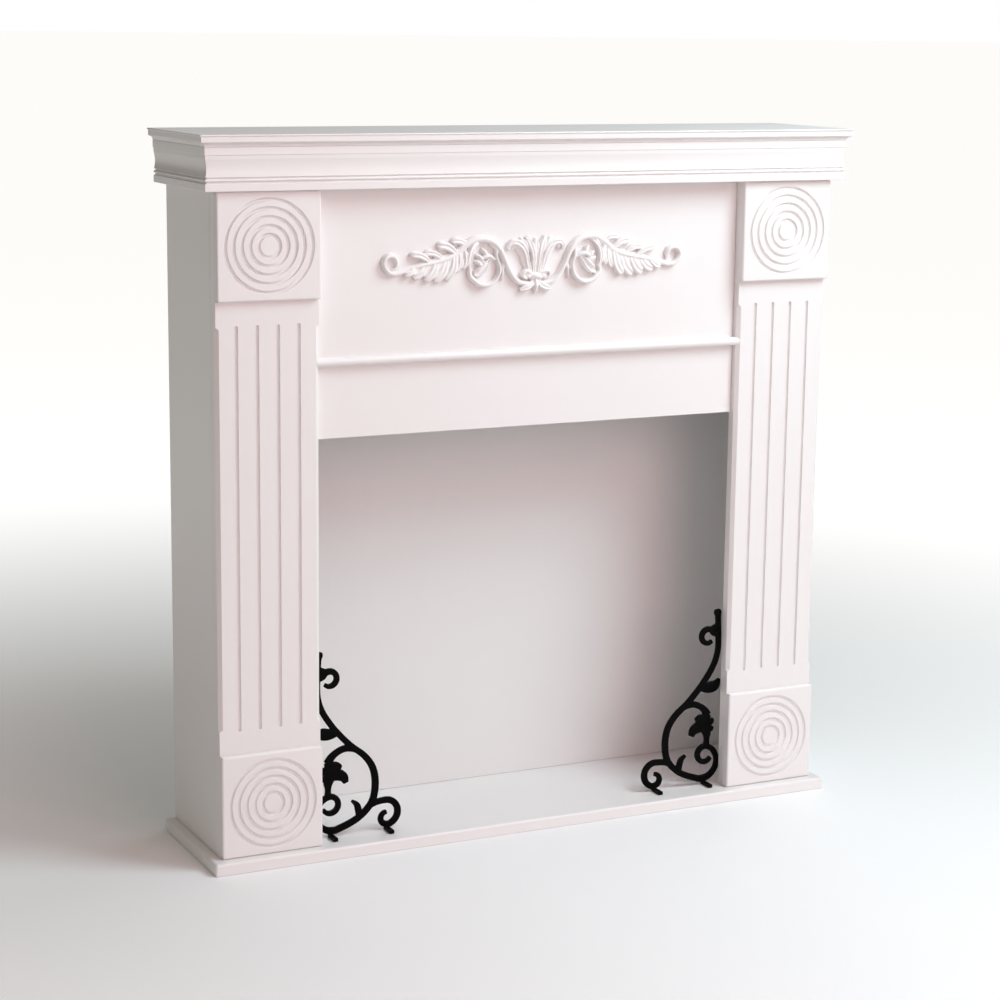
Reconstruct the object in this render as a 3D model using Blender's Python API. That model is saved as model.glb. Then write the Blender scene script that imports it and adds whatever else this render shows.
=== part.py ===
"""Free-standing fireplace mantelpiece: painted carcass, moulded shelf, carved frieze, iron scrolls.

The front faces -Y, +X is to the viewer's right, +Z is up. The origin is at the bottom centre of
the whole piece. Every length is in metres.
"""

import math

import bmesh
import bpy
from mathutils import Matrix, Vector

# Overall envelope: the shelf's nosing is the widest and deepest part
OVERALL_WIDTH = 1.000
OVERALL_DEPTH = 0.222
OVERALL_HEIGHT = 1.000

# Clearance between the faces of pieces that touch
GAP = 0.0003

# Carcass boards
BASE_THICKNESS = 0.017
BASE_OVERHANG = 0.015
BASE_ARRIS = 0.003
SIDE_THICKNESS = 0.018
BACK_THICKNESS = 0.003
PILASTER_WIDTH = 0.147
PILASTER_THICKNESS = 0.018
FRIEZE_THICKNESS = 0.009
FRIEZE_SETBACK = 0.013
OPENING_HEIGHT = 0.571

# Rosette blocks, with ring grooves turned round their centre
BLOCK_HEIGHT = 0.145
BLOCK_THICKNESS = 0.009
BLOCK_ARRIS = 0.003
RING_COUNT = 5
RING_OUTER_RADIUS = 0.0615
RING_PITCH = 0.0116
RING_WIDTH = 0.0047
RING_DEPTH = 0.0027
RING_CHORD = 0.0125

# Flutes and stopped chamfers on the pilaster shafts
FLUTE_COUNT = 4
FLUTE_PITCH = 0.0295
FLUTE_WIDTH = 0.0050
FLUTE_DEPTH = 0.0028
FLUTE_STOP = 0.032
CHAMFER = 0.005
CHAMFER_STOP = 0.036
CHAMFER_RUNOUT = 0.010

# Bead across the frieze
BEAD_HEIGHT = 0.012
BEAD_PROJECTION = 0.013
BEAD_RISE = 0.0995

# Shelf edge, from the top down: each band's height and how far it steps in from the one above
CORNICE_PROJECTION = 0.026
NOSING_HEIGHT = 0.0025
LIP_HEIGHT = 0.0085
LIP_STEP = 0.0020
UNDERCUT_HEIGHT = 0.005
UNDERCUT_STEP = 0.0057

# Cornice moulding under the shelf, from the top down, insets measured from the shelf's nosing
FASCIA_HEIGHT = 0.011
FILLET_HEIGHT = 0.006
FILLET_INSET = 0.0100
COVE_HEIGHT = 0.022
COVE_SAGITTA = 0.0030
QUIRK_HEIGHT = 0.0025
QUIRK_INSET = 0.0130
ASTRAGAL_HEIGHT = 0.0035
FOOT_INSET = 0.0098
GROOVE_HEIGHT = 0.0025
GROOVE_INSET = 0.0115
FOOT_HEIGHT = 0.010

# Applied carving: its length, and how high its centre is above the bead
CARVING_LENGTH = 0.460
CARVING_RISE = 0.1156
CARVING_RELIEF = 0.0115

# Iron scrolls: height, bar thickness, how far they lap behind the pilasters, and their feet
SCROLL_HEIGHT = 0.276
SCROLL_THICKNESS = 0.006
SCROLL_LAP = 0.003
FOOT_LENGTH = 0.022
FOOT_WIDTH = 0.007
FOOT_THICKNESS = 0.005

# Planes and edges that the pieces share
CARCASS_HALF = OVERALL_WIDTH / 2 - CORNICE_PROJECTION
PILASTER_INNER = CARCASS_HALF - PILASTER_WIDTH
PILASTER_CENTRE = CARCASS_HALF - PILASTER_WIDTH / 2
BACK_PLANE = OVERALL_DEPTH / 2
NOSING_PLANE = -OVERALL_DEPTH / 2
SHAFT_PLANE = NOSING_PLANE + CORNICE_PROJECTION
BLOCK_PLANE = SHAFT_PLANE - BLOCK_THICKNESS
FRIEZE_PLANE = SHAFT_PLANE + FRIEZE_SETBACK
PILASTER_BACK = SHAFT_PLANE + PILASTER_THICKNESS
SHELF_THICKNESS = NOSING_HEIGHT + LIP_HEIGHT + UNDERCUT_HEIGHT
SHELF_UNDERSIDE = OVERALL_HEIGHT - SHELF_THICKNESS
FASCIA_INSET = LIP_STEP + UNDERCUT_STEP
CORNICE_BOTTOM = SHELF_UNDERSIDE - (FASCIA_HEIGHT + FILLET_HEIGHT + COVE_HEIGHT + QUIRK_HEIGHT
                                    + ASTRAGAL_HEIGHT + GROOVE_HEIGHT + FOOT_HEIGHT)
FRIEZE_BOTTOM = BASE_THICKNESS + OPENING_HEIGHT
BEAD_BOTTOM = FRIEZE_BOTTOM + BEAD_RISE
SHAFT_BOTTOM = BASE_THICKNESS + GAP + BLOCK_HEIGHT
SHAFT_TOP = CORNICE_BOTTOM - GAP - BLOCK_HEIGHT

# Extra length that a cutter needs to pass cleanly through a face
CUT_MARGIN = 0.001

SIDES = (("left", -1), ("right", 1))


def clear_scene():
    for item in list(bpy.data.objects):
        bpy.data.objects.remove(item, do_unlink=True)


def finish_material(name, colour, roughness, metallic):
    material = bpy.data.materials.new(name)
    material.use_nodes = True
    shader = material.node_tree.nodes["Principled BSDF"]
    shader.inputs["Base Color"].default_value = (*colour, 1.0)
    shader.inputs["Roughness"].default_value = roughness
    shader.inputs["Metallic"].default_value = metallic
    return material


def white_paint(name):
    return finish_material(name + "_paint", (0.84, 0.80, 0.79), 0.42, 0.0)


def black_iron(name):
    return finish_material(name + "_iron", (0.012, 0.012, 0.013), 0.55, 0.6)


def object_from(name, bm, material=None):
    """Put a closed bmesh into the scene as one object with its faces outwards."""
    bmesh.ops.recalc_face_normals(bm, faces=bm.faces[:])
    mesh = bpy.data.meshes.new(name)
    bm.to_mesh(mesh)
    bm.free()
    item = bpy.data.objects.new(name, mesh)
    bpy.context.scene.collection.objects.link(item)
    if material:
        mesh.materials.append(material)
    return item


def add_box(bm, low, high):
    """Add an axis-aligned box between two corners."""
    low = Vector(low)
    high = Vector(high)
    made = bmesh.ops.create_cube(bm, size=1.0)
    size = high - low
    bmesh.ops.scale(bm, vec=size, verts=made["verts"])
    bmesh.ops.translate(bm, vec=(low + high) / 2, verts=made["verts"])
    return made["verts"]


def board(name, low, high, material):
    bm = bmesh.new()
    add_box(bm, low, high)
    return object_from(name, bm, material)


def soften_front(bm, plane, width):
    """Bevel the edges round the face that lies on the plane y = plane."""
    edges = [edge for edge in bm.edges
             if all(abs(vert.co.y - plane) < GAP for vert in edge.verts)]
    bmesh.ops.bevel(bm, geom=edges, offset=width, segments=2, profile=0.5,
                    affect="EDGES", material=-1, clamp_overlap=True)


def add_hull(bm, points):
    verts = [bm.verts.new(point) for point in points]
    result = bmesh.ops.convex_hull(bm, input=verts)
    spare = [item for item in result["geom_interior"] if isinstance(item, bmesh.types.BMVert)]
    bmesh.ops.delete(bm, geom=spare, context="VERTS")


def cut_with(target, cutter):
    """Subtract a closed cutter from the target, and hide the cutter."""
    cutter.hide_render = True
    cutter.display_type = "WIRE"
    modifier = target.modifiers.new("cut_" + cutter.name, "BOOLEAN")
    modifier.operation = "DIFFERENCE"
    modifier.solver = "EXACT"
    modifier.object = cutter


def bake_modifiers(item):
    """Replace an object's mesh with the shape that its modifiers give."""
    graph = bpy.context.evaluated_depsgraph_get()
    mesh = bpy.data.meshes.new_from_object(item.evaluated_get(graph))
    item.modifiers.clear()
    item.data = mesh


def unite(name, solids, material, solver="EXACT"):
    """Weld overlapping closed solids into one body."""
    first = solids[0]
    for solid in solids[1:]:
        modifier = first.modifiers.new("join_" + solid.name, "BOOLEAN")
        modifier.operation = "UNION"
        modifier.solver = solver
        modifier.object = solid
        bake_modifiers(first)
        bpy.data.objects.remove(solid, do_unlink=True)
    first.name = name
    first.data.name = name
    first.data.materials.clear()
    first.data.materials.append(material)
    return first


def spline(points, per_span):
    """Points along a smooth curve through the given ones, per_span steps from each to the next."""
    tuples = [Vector(point) for point in points]
    padded = [2 * tuples[0] - tuples[1]] + tuples + [2 * tuples[-1] - tuples[-2]]
    curve = []
    for before, start, end, after in zip(padded, padded[1:], padded[2:], padded[3:]):
        for step in range(per_span):
            t = step / per_span
            curve.append(0.5 * (2 * start + (end - before) * t
                                + (2 * before - 5 * start + 4 * end - after) * t * t
                                + (3 * start - before - 3 * end + after) * t ** 3))
    curve.append(tuples[-1])
    return curve


def sweep(name, route, section):
    """Sweep a section along a route of (across, up, half width) points in the XZ plane.

    The section is a list of (share of half width, y) corners, the same at every station.
    """
    bm = bmesh.new()
    rings = []
    last = len(route) - 1
    for index, place in enumerate(route):
        ahead = route[min(index + 1, last)] - route[max(index - 1, 0)]
        side = Vector((-ahead.y, ahead.x)).normalized() * place.z
        ring = [bm.verts.new((place.x + side.x * share, y, place.y + side.y * share))
                for share, y in section(index / last)]
        rings.append(ring)
    for ring, following in zip(rings, rings[1:]):
        for corner, vert in enumerate(ring):
            follower = (corner + 1) % len(ring)
            bm.faces.new((vert, ring[follower], following[follower], following[corner]))
    bm.faces.new(rings[0])
    bm.faces.new(rings[-1])
    return object_from(name, bm)


def make_base_board():
    half = CARCASS_HALF + BASE_OVERHANG
    front = BLOCK_PLANE - BASE_OVERHANG
    bm = bmesh.new()
    add_box(bm, (-half, front, 0), (half, BACK_PLANE, BASE_THICKNESS))
    show = [
        edge for edge in bm.edges
        if any(vert.co.z > GAP for vert in edge.verts)
        and not all(vert.co.y > BACK_PLANE - GAP for vert in edge.verts)
    ]
    bmesh.ops.bevel(bm, geom=show, offset=BASE_ARRIS, segments=2, profile=0.5,
                    affect="EDGES", material=-1, clamp_overlap=True)
    object_from("base_board", bm, white_paint("base_board"))


def make_carcass():
    low = BASE_THICKNESS + GAP
    high = SHELF_UNDERSIDE - GAP
    for side, sign in SIDES:
        name = "side_panel_" + side
        edges = sorted((sign * (CARCASS_HALF - SIDE_THICKNESS), sign * CARCASS_HALF))
        board(name, (edges[0], PILASTER_BACK + GAP, low), (edges[1], BACK_PLANE, high),
              white_paint(name))
    inside = CARCASS_HALF - SIDE_THICKNESS - GAP
    board("back_panel", (-inside, BACK_PLANE - BACK_THICKNESS, low), (inside, BACK_PLANE, high),
          white_paint("back_panel"))
    across = PILASTER_INNER - GAP
    board("frieze_board", (-across, FRIEZE_PLANE, FRIEZE_BOTTOM),
          (across, FRIEZE_PLANE + FRIEZE_THICKNESS, high), white_paint("frieze_board"))


def add_flute(bm, centre):
    """Add a cutter for one V-shaped flute with round ends."""
    radius = FLUTE_WIDTH / 2
    spread = radius * (FLUTE_DEPTH + CUT_MARGIN) / FLUTE_DEPTH
    outer = SHAFT_PLANE - CUT_MARGIN
    floor = SHAFT_PLANE + FLUTE_DEPTH
    low = SHAFT_BOTTOM + FLUTE_STOP + radius
    high = SHAFT_TOP - FLUTE_STOP - radius
    points = [(centre, floor, low), (centre, floor, high)]
    steps = 6
    for step in range(steps + 1):
        turn = math.pi * step / steps
        across = centre + spread * math.cos(turn)
        reach = spread * math.sin(turn)
        points.append((across, outer, high + reach))
        points.append((across, outer, low - reach))
    add_hull(bm, points)


def add_chamfer(bm, edge, inward):
    """Add a cutter for one stopped chamfer, whose ends run out to the arris."""
    margin = CUT_MARGIN
    reach = CHAMFER_RUNOUT * (CHAMFER + 2 * margin) / CHAMFER
    low = SHAFT_BOTTOM + CHAMFER_STOP
    high = SHAFT_TOP - CHAMFER_STOP
    corner = (edge - inward * margin, SHAFT_PLANE - margin)
    points = [(*corner, low - reach), (*corner, high + reach)]
    for level in (low, high):
        points.append((*corner, level))
        points.append((edge + inward * (CHAMFER + margin), SHAFT_PLANE - margin, level))
        points.append((edge - inward * margin, SHAFT_PLANE + CHAMFER + margin, level))
    add_hull(bm, points)


def make_pilasters():
    for side, sign in SIDES:
        name = "pilaster_" + side
        edges = sorted((sign * PILASTER_INNER, sign * CARCASS_HALF))
        shaft = board(name, (edges[0], SHAFT_PLANE, BASE_THICKNESS + GAP),
                      (edges[1], PILASTER_BACK, CORNICE_BOTTOM - GAP), white_paint(name))
        bm = bmesh.new()
        for index in range(FLUTE_COUNT):
            offset = (index - (FLUTE_COUNT - 1) / 2) * FLUTE_PITCH
            add_flute(bm, sign * PILASTER_CENTRE + offset)
        add_chamfer(bm, edges[0], 1)
        add_chamfer(bm, edges[1], -1)
        cut_with(shaft, object_from(name + "_cutter", bm))


def add_ring(bm, radius, centre_x, centre_z):
    """Add a cutter for one V-shaped ring groove in a block's face."""
    steps = 4 * max(3, round(2 * math.pi * radius / RING_CHORD / 4))
    spread = RING_WIDTH / 2 * (RING_DEPTH + CUT_MARGIN) / RING_DEPTH
    section = [(radius - spread, BLOCK_PLANE - CUT_MARGIN),
               (radius, BLOCK_PLANE + RING_DEPTH),
               (radius + spread, BLOCK_PLANE - CUT_MARGIN)]
    verts = [bm.verts.new((centre_x + across, y, centre_z)) for across, y in section]
    edges = [bm.edges.new((verts[index], verts[(index + 1) % 3])) for index in range(3)]
    bmesh.ops.spin(bm, geom=verts + edges, cent=(centre_x, 0, centre_z), axis=(0, 1, 0),
                   angle=2 * math.pi, steps=steps, use_merge=True, use_duplicate=False)


def make_rosette_blocks():
    levels = (("lower", BASE_THICKNESS + GAP), ("upper", CORNICE_BOTTOM - GAP - BLOCK_HEIGHT))
    half = PILASTER_WIDTH / 2
    for level, low in levels:
        for side, sign in SIDES:
            name = f"rosette_block_{level}_{side}"
            centre = sign * PILASTER_CENTRE
            bm = bmesh.new()
            add_box(bm, (centre - half, BLOCK_PLANE, low),
                    (centre + half, SHAFT_PLANE - GAP, low + BLOCK_HEIGHT))
            soften_front(bm, BLOCK_PLANE, BLOCK_ARRIS)
            block = object_from(name, bm, white_paint(name))
            cutter = bmesh.new()
            for index in range(RING_COUNT):
                add_ring(cutter, RING_OUTER_RADIUS - index * RING_PITCH, centre,
                         low + BLOCK_HEIGHT / 2)
            cut_with(block, object_from(name + "_cutter", cutter))


def make_bead():
    """Round-nosed bead, coped over the pilasters' chamfers at both ends."""
    half = PILASTER_INNER + CHAMFER
    radius = BEAD_HEIGHT / 2
    middle = BEAD_BOTTOM + radius
    nose = FRIEZE_PLANE - BEAD_PROJECTION + radius
    back = FRIEZE_PLANE - GAP
    steps = 8
    outline = [(back, middle - radius)]
    for step in range(steps + 1):
        turn = math.pi * step / steps
        outline.append((nose - radius * math.sin(turn), middle - radius * math.cos(turn)))
    outline.append((back, middle + radius))
    bm = bmesh.new()
    verts = [bm.verts.new((-half, y, z)) for y, z in outline]
    face = bm.faces.new(verts)
    grown = bmesh.ops.extrude_face_region(bm, geom=[face])
    moved = [item for item in grown["geom"] if isinstance(item, bmesh.types.BMVert)]
    bmesh.ops.translate(bm, vec=(2 * half, 0, 0), verts=moved)
    bead = object_from("frieze_bead", bm, white_paint("frieze_bead"))
    cutter = bmesh.new()
    low = BEAD_BOTTOM - CUT_MARGIN
    high = BEAD_BOTTOM + BEAD_HEIGHT + CUT_MARGIN
    for side, sign in SIDES:
        inner = sign * (PILASTER_INNER - GAP)
        outer = sign * (half + CUT_MARGIN)
        slope = CHAMFER - GAP * math.sqrt(2)
        points = []
        for level in (low, high):
            points.append((inner, SHAFT_PLANE + CHAMFER, level))
            points.append((inner, PILASTER_BACK, level))
            points.append((outer, PILASTER_BACK, level))
            points.append((outer, SHAFT_PLANE - CUT_MARGIN, level))
            points.append((sign * (PILASTER_INNER + slope + CUT_MARGIN),
                           SHAFT_PLANE - CUT_MARGIN, level))
        add_hull(cutter, points)
    cut_with(bead, object_from("frieze_bead_cutter", cutter))


def make_shelf():
    """Shelf board as a stack of outlines, so that its moulded edge turns the corners."""
    steps = 4
    edge = [(0.0, NOSING_HEIGHT / 3), (NOSING_HEIGHT / 3, 0.0), (NOSING_HEIGHT, 0.0),
            (NOSING_HEIGHT, LIP_STEP), (NOSING_HEIGHT + LIP_HEIGHT, LIP_STEP)]
    for step in range(1, steps + 1):
        turn = math.pi / 2 * step / steps
        edge.append((NOSING_HEIGHT + LIP_HEIGHT + UNDERCUT_HEIGHT * (1 - math.cos(turn)),
                     LIP_STEP + UNDERCUT_STEP * math.sin(turn)))
    bm = bmesh.new()
    loops = []
    for drop, inset in edge:
        half = OVERALL_WIDTH / 2 - inset
        front = NOSING_PLANE + inset
        level = OVERALL_HEIGHT - drop
        corners = ((-half, front), (half, front), (half, BACK_PLANE), (-half, BACK_PLANE))
        loops.append([bm.verts.new((x, y, level)) for x, y in corners])
    for upper, lower in zip(loops, loops[1:]):
        for index in range(4):
            following = (index + 1) % 4
            bm.faces.new((upper[index], upper[following], lower[following], lower[index]))
    bm.faces.new(loops[0])
    bm.faces.new(loops[-1])
    object_from("shelf_board", bm, white_paint("shelf_board"))


def cornice_edge():
    """Outer edge of the cornice from its top down, as (level, inset from the nosing) pairs."""
    level = SHELF_UNDERSIDE - GAP
    edge = [(level, FASCIA_INSET)]
    level = SHELF_UNDERSIDE - FASCIA_HEIGHT
    edge.append((level, FASCIA_INSET))
    edge.append((level - FILLET_HEIGHT * 0.4, FILLET_INSET))
    level -= FILLET_HEIGHT
    edge.append((level, FILLET_INSET))
    steps = 6
    for step in range(1, steps):
        share = step / steps
        edge.append((level - COVE_HEIGHT * share,
                     FILLET_INSET + COVE_SAGITTA * math.sin(math.pi * share)))
    level -= COVE_HEIGHT
    edge.append((level, FILLET_INSET))
    edge.append((level - QUIRK_HEIGHT / 2, QUIRK_INSET))
    level -= QUIRK_HEIGHT
    edge.append((level, FOOT_INSET))
    level -= ASTRAGAL_HEIGHT
    edge.append((level, FOOT_INSET))
    edge.append((level - GROOVE_HEIGHT / 2, GROOVE_INSET))
    level -= GROOVE_HEIGHT
    edge.append((level, FOOT_INSET))
    edge.append((level - FOOT_HEIGHT, FOOT_INSET))
    return edge


def loft_ends(name, first, second):
    """Solid between two matching end outlines."""
    bm = bmesh.new()
    start = [bm.verts.new(point) for point in first]
    end = [bm.verts.new(point) for point in second]
    for index in range(len(start)):
        following = (index + 1) % len(start)
        bm.faces.new((start[index], start[following], end[following], end[index]))
    bm.faces.new(start)
    bm.faces.new(end)
    return object_from(name, bm, white_paint(name))


def make_cornice():
    """Front length and two returns, mitred at the front corners."""
    edge = cornice_edge()
    mitre_gap = GAP / 2 * math.sqrt(2)
    top = edge[0][0]
    bottom = edge[-1][0]
    depth = FRIEZE_PLANE - GAP - NOSING_PLANE
    section = edge + [(bottom, depth), (top, depth)]
    ends = []
    for sign in (-1, 1):
        ends.append([(sign * (OVERALL_WIDTH / 2 - inset - mitre_gap), NOSING_PLANE + inset, level)
                     for level, inset in section])
    loft_ends("cornice_front", *ends)
    width = CORNICE_PROJECTION - GAP
    section = edge + [(bottom, width), (top, width)]
    for side, sign in SIDES:
        front = [(sign * (OVERALL_WIDTH / 2 - inset), NOSING_PLANE + inset + mitre_gap, level)
                 for level, inset in section]
        back = [(x, BACK_PLANE, level) for x, y, level in front]
        loft_ends("cornice_" + side, front, back)


def arc(centre, radius, start, end, count):
    """Points along part of a circle, its angles in degrees, anticlockwise where end > start."""
    places = []
    for index in range(count):
        turn = math.radians(start + (end - start) * index / (count - 1))
        places.append((centre[0] + radius * math.cos(turn), centre[1] + radius * math.sin(turn)))
    return tuple(places)


def spread(values, count):
    """The given values as even stations, interpolated to as many as count."""
    result = []
    for index in range(count):
        place = (len(values) - 1) * index / (count - 1)
        first = min(int(place), len(values) - 2)
        share = place - first
        result.append(values[first] * (1 - share) + values[first + 1] * share)
    return result


# The carving is drawn on a sheet this long, in millimetres from its centre
CARVING_SHEET = 460.0
CARVING_DETAIL = 2

# Stems, leaves and curls of one half: centre line, half widths along it, share of full relief
CARVING_HALF = {
    "arch_stem": (((6, -25), (27, -22.5), (38, -13), (46, 0), (52, 13), (60, 27), (72, 36),
                   (86, 38), (100, 33), (112, 23)), (3, 3.8, 3.8, 4, 4.8, 5), 0.85),
    "ring": (((74, 33), (64, 23), *arc((79, -3), 22.4, 155, 350, 8), (97, -2)), (3.2, 3.2, 3.6),
             0.7),
    "ring_bulb": (((97, -3), (92, -3), (87, -8)), (3, 5.2, 4.2), 0.85),
    "inner_leaf": (((99, -6), (93, 5), (85, 13), (76, 15.5), (68, 11)), (3, 4, 4.6, 3.6, 1.2), 0.8),
    "ring_leaf": (((92, 33), (102, 22), (106, 8), (102, -6)), (3.6, 3.6, 3.2, 2.2), 0.7),
    "spike": (((50, 4), (51.5, -8), (52, -21)), (2.6, 2.0, 0.9), 0.5),
    "midrib": (((104, 31), (122, 17), (141, 10), (162, 6), (184, 2), (203, -2), (216, -4)),
               (5, 6, 5.4, 3.6), 0.85),
    "end_curl": (((204, -3), *arc((218, 7), 11.5, 285, 480, 5)), (3.6, 3.2, 2.2), 0.75),
    "end_leaf": (((196, 0), (206, 3), (210, 11), (212, 19)), (3, 3.4, 2.8, 1), 0.6),
    "outer_plume": (((7, -12), (12, 0), (15, 12), (22, 24), (31, 32.5), (40, 33), (43.5, 26)),
                    (3, 3.5, 3.8, 3.6, 1.6), 0.85),
    "plume_eye": (((40, 32), (35, 27), (32, 23)), (3, 3.4, 2.2), 0.6),
    "inner_plume": (((3, -13), (5, 4), (8, 20), (13, 32), (20, 42)), (3, 3.8, 4.4, 4, 1.4), 1.0),
    "ear": (((1, -15), (10, -6.5), (19, -6), (25, -13), (20, -21), (8, -23)), (3.4, 3, 3.2), 0.8),
    "side_petal": (((2, -22), (7, -31), (14, -34.5), (23, -36)), (3.4, 3.8, 3.4, 1.2), 0.7),
}

# Lobes of the acanthus leaf: root and tip on each side of the midrib, and widest half width
CARVING_LOBES = (
    ((109, 25), (114, -6), 2.8), ((117, 20), (128, -12), 3.8), ((127, 14), (142, -20), 5.0),
    ((144, 9), (162, -19), 5.4), ((161, 6), (183, -14), 5.0), ((180, 3), (200, -10), 4.2),
    ((104, 32), (140, 33), 5.4), ((118, 21), (155, 29), 5.4), ((148, 9), (188, 20), 5.2),
)

# What stands on the centre line: bud, knot and drop
CARVING_CENTRE = {
    "bud": (((0, -12), (0, 8), (0, 24), (0, 34)), (3, 4.4, 5, 1.4), 0.9),
    "knot": (((-9, -17), (0, -15), (9, -17)), (4, 5, 4), 1.0),
    "drop": (((0, -18), (0, -28), (0, -39)), (3.4, 3.6, 1.6), 0.8),
}


def lobe_route(root, tip, width):
    """Route of one leaf lobe, bowed a little and widest near its middle."""
    root = Vector(root)
    tip = Vector(tip)
    middle = root.lerp(tip, 0.5)
    along = tip - root
    bow = Vector((along.y, -along.x)) * (0.12 if along.y < 0 else -0.12)
    return (tuple(root), tuple(middle + bow), tuple(tip)), (width * 0.7, width, width * 0.25)


def carving_section(relief):
    """D-like section with a flat top, falling away towards both ends of the stroke."""
    def section(share):
        height = CARVING_RELIEF * relief * (0.62 + 0.38 * math.sin(math.pi * share))
        return ((-1.0, 0.0), (-0.45, -height), (0.45, -height), (1.0, 0.0))
    return section


def stroke(name, points, widths, relief, sign, per_span):
    scale = CARVING_LENGTH / CARVING_SHEET
    drawn = [(sign * x * scale, z * scale, width * scale)
             for (x, z), width in zip(points, spread(widths, len(points)))]
    return sweep(name, spline(drawn, per_span), carving_section(relief))


def make_carving():
    """Applied carving: every stem and lobe is a swept solid, welded into one casting."""
    solids = []
    for name, (points, widths, relief) in CARVING_CENTRE.items():
        solids.append(stroke(name, points, widths, relief, 1, CARVING_DETAIL))
    for side, sign in SIDES:
        for name, (points, widths, relief) in CARVING_HALF.items():
            detail = 1 if len(points) > 6 else CARVING_DETAIL
            solids.append(stroke(name + side, points, widths, relief, sign, detail))
        for index, lobe in enumerate(CARVING_LOBES):
            points, widths = lobe_route(*lobe)
            relief = 0.72 - 0.012 * index
            solids.append(stroke(f"lobe{index}{side}", points, widths, relief, sign,
                                 CARVING_DETAIL))
    # Fifty strokes share one flat back, which only the manifold solver joins at every size
    carving = unite("frieze_carving", solids, white_paint("frieze_carving"), "MANIFOLD")
    centre = Vector((0, FRIEZE_PLANE - GAP, BEAD_BOTTOM + BEAD_HEIGHT + CARVING_RISE))
    carving.data.transform(Matrix.Translation(centre))


# An iron scroll is drawn this tall, in millimetres: across from its outer edge, up from the floor
SCROLL_SHEET = 276.0

# Bars and leaves: centre line, half widths along it, share of the full bar thickness
SCROLL_STROKES = {
    "stem": (((8.5, 275.5), (8.0, 255), (6.9, 232), (7.6, 210), (14, 188), (31, 161), (54, 134.5),
              (76, 115), (88.5, 95), (92, 70), (86.5, 44), (66, 23),
              *arc((29.5, 35.5), 25.8, -72, -235, 7), *arc((25.3, 48.2), 12, 95, -140, 6)),
             (5.6, 4, 4.3, 4.5, 5, 4.5, 5, 4.4, 4, 4, 4, 3.7, 2.4), 1.0),
    "top_curl": (((7, 246), (16, 244.5), *arc((24.3, 233.2), 9.6, 80, -110, 5)),
                 (5, 4, 4, 2.8), 0.9),
    "upper_leaf": (((41, 156), (30, 153.5), (19, 154), (10, 157), (3.6, 165.5)),
                   (5, 7, 8.6, 7.4, 1.2), 1.08),
    "arch": (((69, 124), (58.5, 129.5), (46.5, 129.5), (35.5, 125.5), (27, 118.5), (22, 110)),
             (5, 4.5, 4.5, 6.5), 0.92),
    "leaf_body": (((22, 60), (22, 72), (22, 81), (25, 92), (26, 102), (22, 112)),
                  (5, 4, 6.5, 8.5, 9, 6), 1.08),
    "leaf_tip": (((25, 92), (36, 92.5), (45, 87.5), (48.5, 79.5)), (8, 8.5, 7, 3.2), 1.0),
    "leaf_lobe": (((25, 103), (34, 103), (41, 100)), (8, 8, 5.4), 1.16),
    "thorn": (((69, 27), (67, 36), (64, 44), (57.5, 50)), (6, 5, 3.8, 1.4), 0.84),
    "foot_curl": (((84, 40), (94, 43.5), *arc((105.8, 26.2), 18.2, 95, -80, 6),
                   *arc((107, 17.6), 8.9, 235, 100, 4)), (4.4, 4.8, 4.8, 4.6, 3.8, 2.4), 0.88),
}

# How far along each scroll its two feet stand, and how high the bar is there
SCROLL_FEET = ((25.5, 9.0), (109.0, 6.5))


def bar_section(share_of_thickness):
    """Flat bar, its front and back faces level with its middle plane on both sides."""
    half = SCROLL_THICKNESS * share_of_thickness / 2

    def section(share):
        return ((-1.0, half), (-1.0, -half), (1.0, -half), (1.0, half))
    return section


def make_scroll(side, sign):
    """One iron scroll that stands on the base board, just behind its pilaster."""
    name = "iron_scroll_" + side
    scale = SCROLL_HEIGHT / SCROLL_SHEET
    edge = PILASTER_INNER + SCROLL_LAP
    floor = BASE_THICKNESS + GAP
    middle = PILASTER_BACK + GAP + 0.6 * SCROLL_THICKNESS
    solids = []
    for bar, (points, widths, thickness) in SCROLL_STROKES.items():
        drawn = [(sign * (edge - across * scale), floor + up * scale, width * scale)
                 for (across, up), width in zip(points, spread(widths, len(points)))]
        per_span = 1 if len(points) > 8 else 2
        solids.append(sweep(bar, spline(drawn, per_span), bar_section(thickness)))
    for index, (across, up) in enumerate(SCROLL_FEET):
        centre = sign * (edge - across * scale)
        bm = bmesh.new()
        add_box(bm, (centre - FOOT_WIDTH / 2, -FOOT_LENGTH, floor),
                (centre + FOOT_WIDTH / 2, SCROLL_THICKNESS * 0.4, floor + FOOT_THICKNESS))
        solids.append(object_from(f"foot{index}", bm))
        bm = bmesh.new()
        add_box(bm, (centre - FOOT_WIDTH * 0.45, -SCROLL_THICKNESS * 0.41, floor + FOOT_THICKNESS / 2),
                (centre + FOOT_WIDTH * 0.45, SCROLL_THICKNESS * 0.41, floor + up * scale))
        solids.append(object_from(f"ankle{index}", bm))
    scroll = unite(name, solids, black_iron(name))
    scroll.data.transform(Matrix.Translation((0, middle, 0)))


clear_scene()
make_base_board()
make_carcass()
make_pilasters()
make_rosette_blocks()
make_bead()
make_shelf()
make_cornice()
make_carving()
for scroll_side, scroll_sign in SIDES:
    make_scroll(scroll_side, scroll_sign)
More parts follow.
